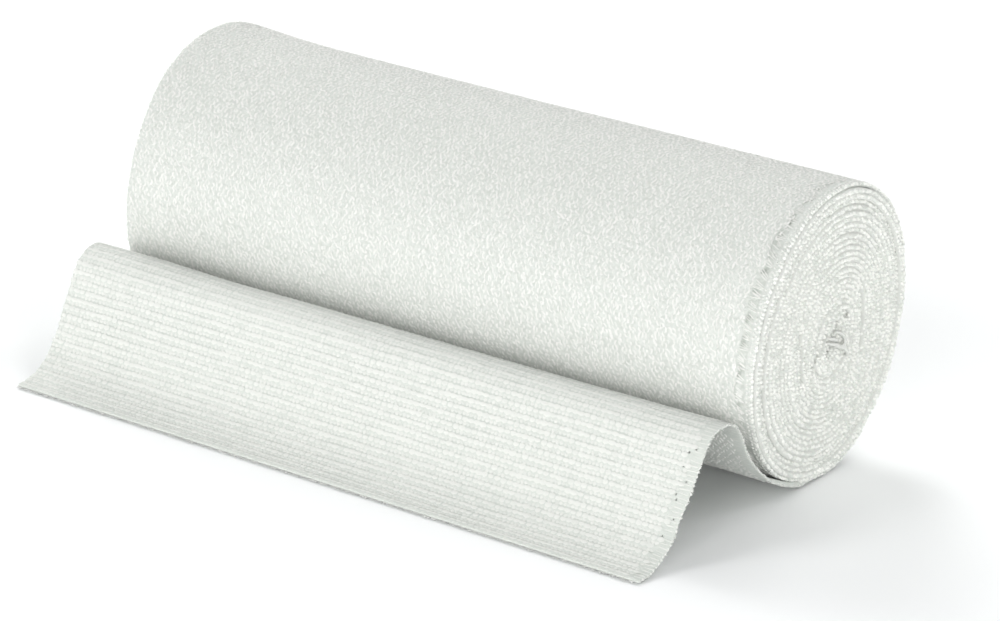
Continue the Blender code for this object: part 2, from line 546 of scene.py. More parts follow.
THREAD_TINTS = ((0.775, 0.775, 0.75), (0.68, 0.695, 0.66))
# The ground's tints are greyer than the threads': painted shade between the threads.
GROUND_SHADED_TINTS = ((0.735, 0.75, 0.72), (0.49, 0.52, 0.48))
# A whiter copy of the cotton for the loops at the roll's edges: painted light.
EDGE_LIT_TINTS = ((0.90, 0.905, 0.87), (0.68, 0.71, 0.665))
# A greyer copy of the cotton for the loose end, which shows the cloth's inner side: painted shade.
INSIDE_SHADED_TINTS = ((0.72, 0.73, 0.695), (0.60, 0.63, 0.59))
thread_cotton = cotton("cotton_threads", THREAD_TINTS, FIBRES, CLOUDS)
shaded_ground_cotton = cotton("cotton_ground_shaded", GROUND_SHADED_TINTS, GROUND_FIBRES, GROUND_CLOUDS)
lit_edge_cotton = cotton("cotton_edges_lit", EDGE_LIT_TINTS, FIBRES, CLOUDS)
shaded_inside_cotton = cotton("cotton_inner_side_shaded", INSIDE_SHADED_TINTS, FIBRES, CLOUDS)
print("materials:", [m.name for m in (thread_cotton, shaded_ground_cotton, lit_edge_cotton, shaded_inside_cotton)])

# %% [markdown]
# ## The woven ground
# Under the threads lies the ground of the cloth: the weft, whose threads run from edge to
# edge. Just inside the roll's right edge it lies bare, like the rungs of a ladder, so the
# ground is sunk there. It shows most at the upper front. Above and below, the neighbouring
# threads have closed over much of it.

# %% Heights of the ground
HALF_WIDTH = CLOTH_WIDTH / 2
LADDER = (HALF_WIDTH - 0.00290, HALF_WIDTH - 0.00130)
LADDER_WANDER = (0.00045, 0.0021)
LADDER_SIDE = 0.0002  # how soon the ground sinks at the ladder's two sides
LADDER_LEAST = 0.30
LADDER_PEAK = (110, 31)  # where round the roll it is barest, and how far that reaches, in degrees
BARS_START = HALF_WIDTH - 0.00200  # where the short bars of the loose end start
EDGE_ROUND = 0.00030
EDGE_LEAST = 0.55  # how thick the very edge is, as a share of the rest


def ladder_left(along):
    """Where the cloth proper ends and the bare weft starts, now further in and now out."""
    return LADDER[0] + wander(along, LADDER_WANDER, 19)


def ladder_strength(along):
    """How bare the weft lies: most at the upper front of the roll, less above and below."""
    away = (turn_angle(along) - LADDER_PEAK[0]) / LADDER_PEAK[1]
    return LADDER_LEAST + (1 - LADDER_LEAST) * np.exp(-(away**2))


def in_ladder(along, across):
    """Up to 1 where the weft lies bare, 0 elsewhere."""
    sides = (ladder_left(along), LADDER[1], LADDER_SIDE, LADDER_SIDE)
    return ladder_strength(along) * window(across, *sides)


def rounded(across):
    """1 over the cloth, and less at its very edge."""
    return np.clip(EDGE_LEAST + (HALF_WIDTH - np.abs(across)) / EDGE_ROUND, 0, 1)


# %% [markdown]
# ## A closed sheet
# A grid with a Solidify modifier would give an even sheet. This cloth's two faces differ in
# shape, so both are worked out as points: a ring of points runs round the cloth's section,
# over the outer face, round the right edge and back under the inner face, and such rings
# follow each other along the cloth. Caps close its two ends.

# %% Helpers for meshes
def in_scene(name, data):
    """A new object for a mesh, a light or a camera, linked to the scene."""
    made = bpy.data.objects.new(name, data)
    bpy.context.scene.collection.objects.link(made)
    return made


def mesh_piece(name, points, faces, material):
    mesh = bpy.data.meshes.new(name)
    mesh.from_pydata(points.tolist(), [], faces)
    mesh.materials.append(material)
    mesh.shade_smooth()
    return in_scene(name, mesh)


def quads_between(rings):
    """The faces between closed rings of points, each row of rings numbering one."""
    after = np.roll(rings, -1, axis=1)
    return np.stack([rings[:-1], after[:-1], after[1:], rings[1:]], -1)


def report(piece):
    """Prints how many triangles a piece has, and its volume, which is negative inside out."""
    mesh = piece.data
    mesh.calc_loop_triangles()
    corners = np.zeros(len(mesh.vertices) * 3)
    mesh.vertices.foreach_get("co", corners)
    corners = corners.reshape(-1, 3)
    tris = np.zeros(len(mesh.loop_triangles) * 3, int)
    mesh.loop_triangles.foreach_get("vertices", tris)
    shape = corners[tris.reshape(-1, 3)]
    volume = np.einsum("ij,ij->i", shape[:, 0], np.cross(shape[:, 1], shape[:, 2])).sum() / 6
    print(piece.name, "triangles:", len(shape), "volume, cm3:", round(volume * 1e6, 2))


# %% A closed sheet along a ribbon
def column_places(left_insets, right_insets, middle_step):
    """Places across the cloth: close together at the edges, then even steps."""
    left = [inset - HALF_WIDTH for inset in left_insets]
    right = [HALF_WIDTH - inset for inset in right_insets[::-1]]
    count = max(2, round((right[0] - left[-1]) / middle_step) + 1)
    return np.concatenate([left[:-1], np.linspace(left[-1], right[0], count), right[1:]])


def hole_walls(index, row, column, count):
    """The walls of a pinhole two cells long, from the sheet's outer face to its inner face."""
    rim = [(0, 0), (0, 1), (1, 1), (2, 1), (2, 0), (1, 0)]
    outer = [int(index[row + i, column + j]) for i, j in rim]
    inner = [int(index[row + i, 2 * count - column - j]) for i, j in rim]
    after = [1, 2, 3, 4, 5, 0]
    return [[outer[k], outer[after[k]], inner[after[k]], inner[k]] for k in range(len(rim))]


def end_cap(row, count, turned):
    """The faces that close the sheet at its first or its last ring of points."""
    top, under = row[:count], row[count + 1 : 2 * count + 1][::-1]
    cap = [[top[k], top[k + 1], under[k + 1], under[k]] for k in range(count - 1)]
    cap += [[row[2 * count + 1], top[0], under[0]], [top[-1], row[count], under[-1]]]
    return [face[::-1] if turned else face for face in cap]


def closed_sheet(name, ribbon, alongs, places, offset, material, holes=(), tone=None):
    """A sheet with an outer and an inner face, closed round all four sides and in its holes."""
    ring = np.concatenate([places, [HALF_WIDTH], places[::-1], [-HALF_WIDTH]])
    count = len(places)
    side = np.concatenate([np.ones(count), [0], -np.ones(count), [0]])
    along, across = np.meshgrid(alongs, ring, indexing="ij")
    points, tangent, outward = ribbon.at(along, across)
    points = points + outward * offset(along, across, side[None, :])[..., None]
    index = np.arange(along.size).reshape(along.shape)
    quads = quads_between(index)
    solid = np.ones(quads.shape[:2], bool)
    faces = []
    for first, column in holes:
        solid[first : first + 2, [column, 2 * count - column - 1]] = False
        faces += hole_walls(index, first, column, count)
    faces += quads[solid].tolist()
    faces += end_cap(index[0].tolist(), count, True) + end_cap(index[-1].tolist(), count, False)
    piece = mesh_piece(name, points.reshape(-1, 3), faces, material)
    if tone is not None:
        attribute = piece.data.attributes.new("tone", "FLOAT", "POINT")
        attribute.data.foreach_set("value", tone(along, across).astype(np.float32).ravel())
    report(piece)
    return piece


# %% [markdown]
# ## The ground of each part
# There is one sheet for the outer turn, one for the loose end and one for all inner turns.
# The outer turn's is plain where threads cover it. The loose end's inner side is thick at
# each rib and thin in the valleys between, it thickens where it meets the roll, so that no
# gap shows, and it has a few pinholes near its right edge, where threads have parted. Only
# the ends of the inner turns show, so their sheet has few columns and no ribs.

# %% The ground of the outer turn
OUTER_FACE = 0.00022
OUTER_BACK = 0.00047
BAND_SUNK = (0.00008, 0.0008)  # how far the ground lies lower under the edge band, and how soon
BARE_SUNK = 0.00020
PIT_SUNK = 0.00044
PIT_PLACE = 0.00035  # how far to the right of the ladder's left side, and how wide
PIT_REACH = 0.0006
PIT_HILLS = (1.8, 0.0011)  # the noise that says which hollows are deep
PIT_SHARE = 0.3
OUTER_TONE = -0.03
# Painted shade: the bare weft is toned greyer, partly as thinner cloth, and its hollows darker
# still.
BARE_TONE_AND_SHADE = 0.25
PIT_PAINTED_SHADE = 1.4
LEFT_INSETS = (0.00005, 0.00025, 0.0009, 0.0040)
RIGHT_INSETS = (
    0.00005, 0.00025, 0.0009, 0.00125, 0.00145, 0.0020, 0.0024, 0.0027, 0.0030, 0.0034, 0.0055,
)
COLUMN_STEP = 0.0056
OUTER_ROWS_A_RIB = 3


def pits(along, across):
    """1 in the small hollows at the left ends of the rungs, 0 elsewhere."""
    away = np.abs(across - ladder_left(along) - PIT_PLACE)
    return smooth_step(1 - away / PIT_REACH) * smooth_step(PIT_SHARE + wander(along, PIT_HILLS, 23))


def outer_offset(along, across, side):
    """The outer turn's ground: plain outside, thick inside, and sunk where the weft is bare."""
    band = BAND_SUNK[0] * smooth_step((across - LADDER[1]) / BAND_SUNK[1])
    face = (OUTER_FACE - band) * rounded(across)
    face = face - in_ladder(along, across) * (BARE_SUNK + PIT_SUNK * pits(along, across))
    return np.where(side > 0, face, side * OUTER_BACK)


def outer_tone_with_painted_shade(along, across):
    """Greyer on the thin bare weft, partly painted shade, and darkest in the hollows: painted shade.
    """
    return OUTER_TONE - in_ladder(along, across) * (BARE_TONE_AND_SHADE + PIT_PAINTED_SHADE * pits(along, across))


outer_places = column_places(LEFT_INSETS, RIGHT_INSETS, COLUMN_STEP)
outer_rows = np.linspace(0, outer_length, outer_ribs * OUTER_ROWS_A_RIB + 1)
outer_ground = closed_sheet(
    "outer_turn", outer_turn, outer_rows, outer_places, outer_offset, shaded_ground_cotton, tone=outer_tone_with_painted_shade
)

# %% The ground of the loose end, with its pinholes
VALLEY = 0.00015
CREST = 0.00027
CREST_SHARPNESS = 0.8
LOOSE_FACE = 0.00020
# Painted shade: the loose end's ground is toned greyer than the threads on it.
LOOSE_GROUND_SHADE = -0.25
LEAVE_FACE = OUTER_BACK + 0.00012  # height of the inner side where it meets the roll
LEAVE_SLOPE = (0.006, 0.007)  # where it starts to thin, and over what length
BARS_SIDE = 0.0003
LOOSE_ROWS_A_PICK = 4
HOLE_INSETS = (0.0006, 0.0009, 0.0012, 0.0015, 0.0018, 0.0021, 0.0024)
LOOSE_INSETS = (0.00005, 0.00025, *HOLE_INSETS, 0.0030, 0.0055)
PINHOLES = (  # number of the pick that it follows, and its place counted from the right edge
    (51, 0.0015), (52, 0.0024), (58, 0.0012), (61, 0.0021), (62, 0.0018), (70, 0.0018),
    (74, 0.0021), (77, 0.0018), (66, 0.0009), (55, 0.0024),
)


def loose_offset(along, across, side):
    """The loose end's ground: ribbed on the inner side, plain on the outer side and the edge."""
    ridge = np.abs(np.sin(math.pi * along * loose_ribs / loose_length)) ** CREST_SHARPNESS
    inner = VALLEY + (CREST - VALLEY) * ridge
    inner = inner + (VALLEY - inner) * smooth_step((across - BARS_START) / BARS_SIDE)
    leaving = 1 - smooth_step((along - LEAVE_SLOPE[0]) / LEAVE_SLOPE[1])
    inner = inner + (LEAVE_FACE - inner) * leaving
    return side * np.where(side < 0, inner, LOOSE_FACE) * rounded(across)


def loose_ground_painted_shade(along, across):
    """The ground of the loose end, toned a little greyer than the threads on it: painted shade
    between them.
    """
    return np.full(along.shape, LOOSE_GROUND_SHADE)


def pinhole_cell(pick, inset, places):
    """The row and the column of the sheet's cells where a pinhole starts."""
    column = int(np.argmin(np.abs(HALF_WIDTH - inset - places))) - 1
    return pick * LOOSE_ROWS_A_PICK - 1, column


loose_places = column_places(LEFT_INSETS, LOOSE_INSETS, COLUMN_STEP)
loose_rows = np.linspace(0, loose_length, loose_ribs * 2 * LOOSE_ROWS_A_PICK + 1)
holes = [pinhole_cell(pick, inset, loose_places) for pick, inset in PINHOLES]
# The loose end's ground takes the greyer copy of the cotton: painted shade.
loose_ground = closed_sheet(
    "loose_end_cloth", loose_end, loose_rows, loose_places, loose_offset, shaded_inside_cotton,
    holes, loose_ground_painted_shade,
)

# %% The ground of the inner turns
INNER_INSETS = (0.00005, 0.0010, 0.0200)
INNER_STEP = 0.040
INNER_HALF = 0.00045
EYE_THIN = 0.62  # how thick the first turns are, as a share of the rest
EYE_THIN_RADII = (0.0015, 0.0050)


def inner_offset(along, across, side):
    """The inner turns' ground, as thick as the turns are apart, and thinner round the eye."""
    radius = np.interp(along, spiral_run, spiral_radii)
    full = smooth_step((radius - EYE_THIN_RADII[0]) / EYE_THIN_RADII[1])
    return side * INNER_HALF * (EYE_THIN + (1 - EYE_THIN) * full)


inner_places = column_places(INNER_INSETS, INNER_INSETS, INNER_STEP)
inner_ground = closed_sheet(
    "inner_turns", inner_turns, spiral_run, inner_places, inner_offset, thread_cotton
)

# %% [markdown]
# ## One thread, laid thousands of times
# A woven thread shows as a short float wherever it passes over another. All floats are the
# same low ball, stretched along the thread. Geometry Nodes put one on each guide point,
# turn it to the cloth's outward and warp directions, and vary its size, slant and tone.
# A dozen faces are enough for something half a millimetre wide, if its top is shaded as
# nearly flat: the crease, where the edges from the ball's middle down are sharp, does that.


# %% Parts of the node tree that lays threads on guide points
SEED_STEP = 100  # keeps the draws for slant, tilt and sizes apart


def maths(tree, operation, *inputs):
    """The result of a Math node."""
    return node(tree, "ShaderNodeMath", dict(enumerate(inputs)), operation=operation).outputs[0]


def as_vector(tree, **parts):
    """A vector put together from its X, Y and Z."""
    return node(tree, "ShaderNodeCombineXYZ", parts).outputs["Vector"]


def bent(tree, shape, bend):
    """The shape with its two ends pushed sideways, most at the tips."""
    place = node(tree, "GeometryNodeInputPosition").outputs[0]
    far = node(tree, "ShaderNodeSeparateXYZ", {0: place}).outputs["Y"]
    shift = maths(tree, "MULTIPLY", maths(tree, "MULTIPLY", far, far), bend)
    moved = {"Geometry": shape, "Offset": as_vector(tree, X=shift)}
    return node(tree, "GeometryNodeSetPosition", moved).outputs["Geometry"]


def creased(tree, shape, limit):
    """The shape, smooth but with sharp edges below a height, which keep the top's shading flat."""
    smooth = node(tree, "GeometryNodeSetShadeSmooth", {"Geometry": shape}).outputs["Geometry"]
    ends = node(tree, "GeometryNodeInputMeshEdgeVertices").outputs
    places = [ends["Position 1"], ends["Position 2"]]
    heights = [node(tree, "ShaderNodeSeparateXYZ", {0: place}).outputs["Z"] for place in places]
    low = maths(tree, "LESS_THAN", maths(tree, "MAXIMUM", *heights), limit)
    sharp = {"Geometry": smooth, "Selection": low, "Shade Smooth": False}
    return node(tree, "GeometryNodeSetShadeSmooth", sharp, domain="EDGE").outputs["Geometry"]


def turned_round(tree, slant, seed):
    """The slant, with half of the threads turned round, so that they bend the other way."""
    # Input 5 is the highest whole number, and output 2 the one drawn.
    flip = node(tree, "FunctionNodeRandomValue", {5: 1, "Seed": seed}, data_type="INT").outputs[2]
    return maths(tree, "MULTIPLY_ADD", flip, math.pi, slant)


def spread(tree, most, seed, place):
    """A random number for each thread, between -most and most, from one of a few draws."""
    # Inputs 2 and 3 are the limits of a fraction, and output 1 is the one drawn.
    limits = {2: maths(tree, "MULTIPLY", most, -1), 3: most}
    limits["Seed"] = maths(tree, "ADD", seed, SEED_STEP * place)
    return node(tree, "FunctionNodeRandomValue", limits, data_type="FLOAT").outputs[1]


def facing(tree):
    """The rotation that turns a thread's top outwards and its length along the guide's direction."""
    named = {}
    for name in ("outward", "along"):
        read = {"Name": name}
        read = node(tree, "GeometryNodeInputNamedAttribute", read, data_type="FLOAT_VECTOR")
        named[name] = read.outputs["Attribute"]
    upright = {"Vector": named["outward"]}
    upright = node(tree, "FunctionNodeAlignRotationToVector", upright, axis="Z").outputs["Rotation"]
    aimed = {"Rotation": upright, "Vector": named["along"]}
    aimed = node(tree, "FunctionNodeAlignRotationToVector", aimed, axis="Y", pivot_axis="Z")
    return aimed.outputs["Rotation"]


# %% The whole node tree
SIZE_INPUTS = ("Width", "Length", "Height", "Bend", "Slant", "Tilt", "Size spread")
TONE_INPUTS = ("Crease height", "Tone low", "Tone high")
COUNT_INPUTS = ("Sides", "Rings", "Seed")


def new_tree(name):
    """An empty tree with its sockets, which start as a guide and end as threads."""
    tree = bpy.data.node_groups.new(name, "GeometryNodeTree")
    sockets = [("Guide", "Geometry")]
    sockets += [(label, "Float") for label in (*SIZE_INPUTS, *TONE_INPUTS)]
    sockets += [(label, "Int") for label in COUNT_INPUTS]
    sockets += [("Cotton", "Material")]
    for label, kind in sockets:
        tree.interface.new_socket(label, in_out="INPUT", socket_type="NodeSocket" + kind)
    tree.interface.new_socket("Threads", in_out="OUTPUT", socket_type="NodeSocketGeometry")
    return tree


def one_thread(tree, given):
    """The ball that every thread is, lying along Y with its round side up."""
    ball = {"Radius": 0.5, "Segments": given["Sides"], "Rings": given["Rings"]}
    ball = node(tree, "GeometryNodeMeshUVSphere", ball).outputs["Mesh"]
    lying = {"Geometry": ball, "Rotation": (math.pi / 2, -math.pi / 2, 0)}
    lying = node(tree, "GeometryNodeTransform", lying).outputs["Geometry"]
    return creased(tree, bent(tree, lying, given["Bend"]), given["Crease height"])


def thread_turn(tree, given):
    """How each thread is turned: to the cloth first, and then a little out of line."""
    lean = spread(tree, given["Tilt"], given["Seed"], 1)
    slant = spread(tree, given["Slant"], given["Seed"], 2)
    slant = turned_round(tree, slant, given["Seed"])
    stray = {"Euler": as_vector(tree, X=lean, Z=slant)}
    stray = node(tree, "FunctionNodeEulerToRotation", stray).outputs["Rotation"]
    turned = {"Rotation": facing(tree), "Rotate By": stray}
    turned = node(tree, "FunctionNodeRotateRotation", turned, rotation_space="LOCAL")
    return turned.outputs["Rotation"]


def thread_size(tree, given):
    sizes = {}
    for axis, name, place in (("X", "Width", 3), ("Y", "Length", 4), ("Z", "Height", 5)):
        draw = spread(tree, given["Size spread"], given["Seed"], place)
        sizes[axis] = maths(tree, "MULTIPLY_ADD", draw, given[name], given[name])
    return as_vector(tree, **sizes)


def toned(tree, threads, given):
    """The threads, each with a tone of its own, which the cotton reads."""
    tone = {2: given["Tone low"], 3: given["Tone high"], "Seed": given["Seed"]}
    tone = node(tree, "FunctionNodeRandomValue", tone, data_type="FLOAT").outputs[1]
    kept = {"Name": "tone", "Geometry": threads, "Value": tone}
    kind = "GeometryNodeStoreNamedAttribute"
    return node(tree, kind, kept, data_type="FLOAT", domain="INSTANCE").outputs["Geometry"]


def build_thread_tree():
    tree = new_tree("lay_threads")
    given = node(tree, "NodeGroupInput").outputs
    laid = {"Points": given["Guide"], "Instance": one_thread(tree, given)}
    laid["Rotation"] = thread_turn(tree, given)
    laid["Scale"] = thread_size(tree, given)
    laid = node(tree, "GeometryNodeInstanceOnPoints", laid).outputs["Instances"]
    real = {"Geometry": toned(tree, laid, given)}
    real = node(tree, "GeometryNodeRealizeInstances", real).outputs["Geometry"]
    dressed = {"Geometry": real, "Material": given["Cotton"]}
    dressed = node(tree, "GeometryNodeSetMaterial", dressed).outputs["Geometry"]
    node(tree, "NodeGroupOutput", {"Threads": dressed})
    return tree


thread_tree = build_thread_tree()
print("tree inputs:", [s.name for s in thread_tree.interface.items_tree])


# %% Lay threads on a guide and keep the plain mesh
def guide_mesh(points, along, outward):
    """Points only, each with the direction of its thread and of the cloth's outer side."""
    mesh = bpy.data.meshes.new("guide")
    mesh.vertices.add(len(points))
    mesh.vertices.foreach_set("co", points.astype(np.float32).ravel())
    for label, values in (("along", along), ("outward", outward)):
        attribute = mesh.attributes.new(label, "FLOAT_VECTOR", "POINT")
        attribute.data.foreach_set("vector", values.astype(np.float32).ravel())
    return mesh


def lay_threads(name, guide, settings, seed):
    """A piece made of one thread on each guide point."""
    piece = in_scene(name, guide)
    modifier = piece.modifiers.new("threads", "NODES")
    modifier.node_group = thread_tree
    sockets = {s.name: s.identifier for s in thread_tree.interface.items_tree}
    for label, value in {**settings, "Seed": seed}.items():
        modifier[sockets[label]] = value
    piece.update_tag()
    bpy.context.view_layer.update()
    graph = bpy.context.evaluated_depsgraph_get()
    plain = bpy.data.meshes.new_from_object(piece.evaluated_get(graph))
    piece.modifiers.remove(modifier)
    piece.data = plain
    plain.name = name
    bpy.data.meshes.remove(guide)
    report(piece)
    return piece


# %% [markdown]
# ## The outer side of the cloth
# On the outer side the floats are short and crinkled. In a plain weave they sit in every
# second place of a pick, and the next pick has them in the places between. The threads are
# so tightly twisted that each one leans over and is pushed out of line, so no straight row
# is left to see. Where the ladder is less bare, the floats run on over part of it.

# %% Guide points of the floats
LEFT_LIMIT = -HALF_WIDTH + 0.00030
CRINKLE = (0.00014, 0.0013)  # hills that push the floats sideways
PICK_WANDER = (0.00022, 0.0022)  # and hills that push them along the cloth
COVER_REACH = 0.0015  # how far floats cover the ladder where it is least bare
COVER_GAP = 0.00010


def float_places(first_pick, last_pick, pitch, jitter, seed):
    """(along, across) of the floats of a plain weave, one in every second place of a pick."""
    draw = np.random.default_rng(seed)
    columns = round(CLOTH_WIDTH / (2 * pitch))
    picks = np.arange(first_pick, last_pick)
    pick, column = np.meshgrid(picks, np.arange(columns), indexing="ij")
    across = (2 * column + pick % 2 + 0.5) * pitch - HALF_WIDTH
    along = (pick + 0.5) * PICK_PITCH
    crinkle = hills(across, along, CRINKLE, seed + 1)
    stray = hills(across, along, PICK_WANDER, seed + 2)
    across = across + crinkle + draw.uniform(-jitter, jitter, across.shape)
    along = along + stray + draw.uniform(-jitter, jitter, across.shape)
    covered = COVER_REACH * (1 - ladder_strength(along)) - COVER_GAP
    kept = (across > LEFT_LIMIT) & (across < ladder_left(along) + covered)
    return along[kept], across[kept]


def guide_on(ribbon, ribs, along, across, side, height, lean=0.0):
    """Guide points at a height over the ribbon's outer side, side 1, or its inner side, -1."""
    along = np.clip(along * ribbon.length / (ribs * RIB_PITCH), 0, ribbon.length)
    points, tangent, outward = ribbon.at(along, across)
    outward = outward * side
    tangent[..., 0] -= lean
    return guide_mesh(points + outward * height, tangent, outward)


# %% Floats on the outer turn
OUTER_WARP_PITCH = 0.00042
OUTER_HEIGHT = 0.00027
OUTER_JITTER = 0.00019
TWIST_LEAN = 0.32  # how far the floats lean to the left, as a slope
UNDER_TOP = 0.01  # a crease just above the middle of the ball
NO_CREASE = -1.0
OUTER_FLOAT = {
    "Width": 0.00041, "Length": 0.00092, "Height": 0.00019, "Bend": 3.2, "Slant": 0.75,
    "Tilt": 0.08, "Size spread": 0.34, "Tone low": 0.0, "Tone high": 1.0,
    "Crease height": UNDER_TOP, "Sides": 3, "Rings": 3, "Cotton": thread_cotton,
}
outer_floats = []
for label, first, last, seed in (
    ("front", 0, outer_ribs, 21),
    ("back", outer_ribs, 2 * outer_ribs, 22),
):
    along, across = float_places(first, last, OUTER_WARP_PITCH, OUTER_JITTER, seed)
    guide = guide_on(outer_turn, outer_ribs, along, across, 1, OUTER_HEIGHT, TWIST_LEAN)
    outer_floats.append(lay_threads("outer_threads_" + label, guide, OUTER_FLOAT, seed))

# %% [markdown]
# ## The band along the right edge
# Outside the bare weft a narrow band holds the edge together. Its threads turn sharply, so
# they show as small round beads rather than as floats. Two rows of beads, half a pick apart,
# are made by the same tree with other sizes, so no second thread has to be modelled.

# %% Beads of the edge band
BAND_INSETS = (0.00036, 0.00092)
BAND_JITTER = (0.00008, 0.00012)  # across and along
BAND_HEIGHT = 0.00012


def band_places(picks, insets, seed):
    """(along, across) of the beads, in rows that are offset by half a pick."""
    draw = np.random.default_rng(seed)
    pick, row = np.meshgrid(np.arange(picks), np.arange(len(insets)), indexing="ij")
    along = (pick + 0.5 + 0.5 * (row % 2)) * PICK_PITCH
    across = HALF_WIDTH - np.array(insets)[row]
    across = across + draw.uniform(-BAND_JITTER[0], BAND_JITTER[0], pick.shape)
    along = along + draw.uniform(-BAND_JITTER[1], BAND_JITTER[1], pick.shape)
    return along.ravel(), across.ravel()


BAND_BEAD = {
    **OUTER_FLOAT, "Width": 0.00046, "Length": 0.00050, "Height": 0.00046, "Bend": 0.0,
    "Tone low": -0.2, "Tone high": 0.9, "Crease height": NO_CREASE, "Sides": 5,
}
along, across = band_places(2 * outer_ribs, BAND_INSETS, 26)
band_guide = guide_on(outer_turn, outer_ribs, along, across, 1, BAND_HEIGHT)
outer_band = lay_threads("outer_edge_band", band_guide, BAND_BEAD, 26)

# %% [markdown]
# ## The loose end
# The loose end shows the cloth's inner side on top. There the warp threads run two by two:
# one row of pairs stands up on each rib and reads as a line of soft bricks, and the row
# between lies lower and is toned darker, painted shade of the valley between the ribs. A
# pair is laid as one wide float, because its two threads are too close to be told apart.
# The side below, towards the floor, has the floats of the outer turn.

# %% Places of the pairs on the loose end
FINE_PITCH = 0.00072
ROW_PLACES = (0.40, 0.88)  # where the two rows of a rib lie, as a share of its pitch
PAIR_JITTER = 0.00005
BRICK_SIZE = 0.0050
BRICK_STRAY = (0.3 * WARP_PITCH, 0.00010)  # across and along
PAIR_END_JITTER = 0.0004


def pair_places(ribs, row, seed):
    """(along, across) of one row on each rib: row 0 has the pairs, row 1 the fine threads."""
    draw = np.random.default_rng(seed)
    pitch = (2 * WARP_PITCH, FINE_PITCH)[row]
    columns = round(CLOTH_WIDTH / pitch)
    rib, column = np.meshgrid(np.arange(ribs), np.arange(columns), indexing="ij")
    across = (column + 0.5) * pitch - HALF_WIDTH
    along = (rib + ROW_PLACES[row]) * RIB_PITCH
    brick = soft_noise(across, along, BRICK_SIZE, seed + 1)
    across = across + BRICK_STRAY[0] * brick + draw.uniform(-PAIR_JITTER, PAIR_JITTER, rib.shape)
    along = along + BRICK_STRAY[1] * brick + draw.uniform(-PAIR_JITTER, PAIR_JITTER, rib.shape)
    last = BARS_START + draw.uniform(-PAIR_END_JITTER, PAIR_END_JITTER, rib.shape)
    kept = (across > LEFT_LIMIT) & (across < last)
    return along[kept], across[kept]


# %% Floats on both sides of the loose end
PAIR_HEIGHT = 0.00027
FINE_HEIGHT = 0.00023
UNDER_JITTER = 0.00010
# The pairs and the fine threads take the greyer copy of the cotton: painted shade.
PAIR_FLOAT = {
    "Width": 0.00128, "Length": 0.00088, "Height": 0.00019, "Bend": 0.0, "Slant": 0.08,
    "Tilt": 0.03, "Size spread": 0.20, "Tone low": 0.4, "Tone high": 1.05,
    "Crease height": UNDER_TOP, "Sides": 4, "Rings": 3, "Cotton": shaded_inside_cotton,
}
# Painted shade: the fine threads of the lower row are toned darker, for the valley between the ribs.
FINE_FLOAT_SHADED = {
    **PAIR_FLOAT, "Width": 0.00080, "Length": 0.00080, "Height": 0.00013, "Slant": 0.25,
    "Tone low": 0.1, "Tone high": 0.7, "Sides": 3,
}
loose_floats = []
for row, label, size, height in (
    (0, "high", PAIR_FLOAT, PAIR_HEIGHT),
    (1, "low", FINE_FLOAT_SHADED, FINE_HEIGHT),
):
    seed = 31 + row
    along, across = pair_places(loose_ribs, row, seed)
    guide = guide_on(loose_end, loose_ribs, along, across, -1, height)
    loose_floats.append(lay_threads("loose_end_pairs_" + label, guide, size, seed))
along, across = float_places(0, 2 * loose_ribs, WARP_PITCH, UNDER_JITTER, 34)
guide = guide_on(loose_end, loose_ribs, along, across, 1, FINE_HEIGHT)
loose_floats.append(lay_threads("loose_end_threads_under", guide, OUTER_FLOAT, 34))

# %% [markdown]
# ## The edges of the turns
# At each edge the weft turns back round the last warp thread. On the roll's ends these
# small loops are all that shows of the cloth: rows of beads, one row for each turn. They
# follow the same spiral as the cloth does, so a groove or a drawn-in turn takes its beads
# along. Their rounder shape needs five sides and no crease.

# %% Guide points of the loops along an edge
LOOP_JITTER = (0.00006, 0.00020)  # across and along


def loop_guide(ribbon, pitch, side, sink, stray, seed):
    """Guide points of the loops along one edge, side 1 at the right."""
    draw = np.random.default_rng(seed)
    count = round(ribbon.length / pitch)
    along = (np.arange(count) + 0.5) * ribbon.length / count
    along = along + draw.uniform(-LOOP_JITTER[1], LOOP_JITTER[1], count)
    points, tangent, outward = ribbon.at(along, np.full(count, side * HALF_WIDTH))
    points[:, 0] += draw.uniform(-LOOP_JITTER[0], LOOP_JITTER[0], count) - side * sink
    points += outward * draw.uniform(-stray, stray, count)[:, None]
    outwards = np.zeros_like(points)
    outwards[:, 0] = side
    return guide_mesh(points, tangent, outwards)


# %% Loops along the edges of all turns
LOOP_PITCH = 0.00072
# The loops at the roll's edges take the whiter copy of the cotton: painted light.
EDGE_LOOP = {
    "Width": 0.00068, "Length": 0.00056, "Height": 0.00084, "Bend": 0.0, "Slant": 0.90,
    "Tilt": 0.25, "Size spread": 0.24, "Tone low": -0.15, "Tone high": 1.1,
    "Crease height": NO_CREASE, "Sides": 5, "Rings": 3, "Cotton": lit_edge_cotton,
}
RIM_LOOP = {**EDGE_LOOP, "Width": 0.00064, "Length": 0.00060, "Height": 0.00060, "Slant": 0.30}
# The loops of the loose end take the greyer copy of the cotton: painted shade.
THIN_LOOP = {
    **EDGE_LOOP, "Width": 0.00048, "Length": 0.00068, "Height": 0.00042, "Cotton": shaded_inside_cotton,
}
LOOP_ROWS = (  # ribbon, pitch, how deep the loops sit, how far they stray, and their size
    ("inner", inner_turns, LOOP_PITCH, 0.00002, 0.00017, EDGE_LOOP),
    ("outer", outer_turn, LOOP_PITCH, 0.00004, 0.00004, RIM_LOOP),
    ("loose", loose_end, PICK_PITCH, 0.00006, 0.00006, THIN_LOOP),
)
edge_loops = {}
for side, label, seed in ((-1, "left", 41), (1, "right", 42)):
    for name, ribbon, pitch, sink, stray, size in LOOP_ROWS:
        guide = loop_guide(ribbon, pitch, side, sink, stray, seed)
        edge_loops[name, label] = lay_threads(f"{name}_loops_{label}", guide, size, seed)

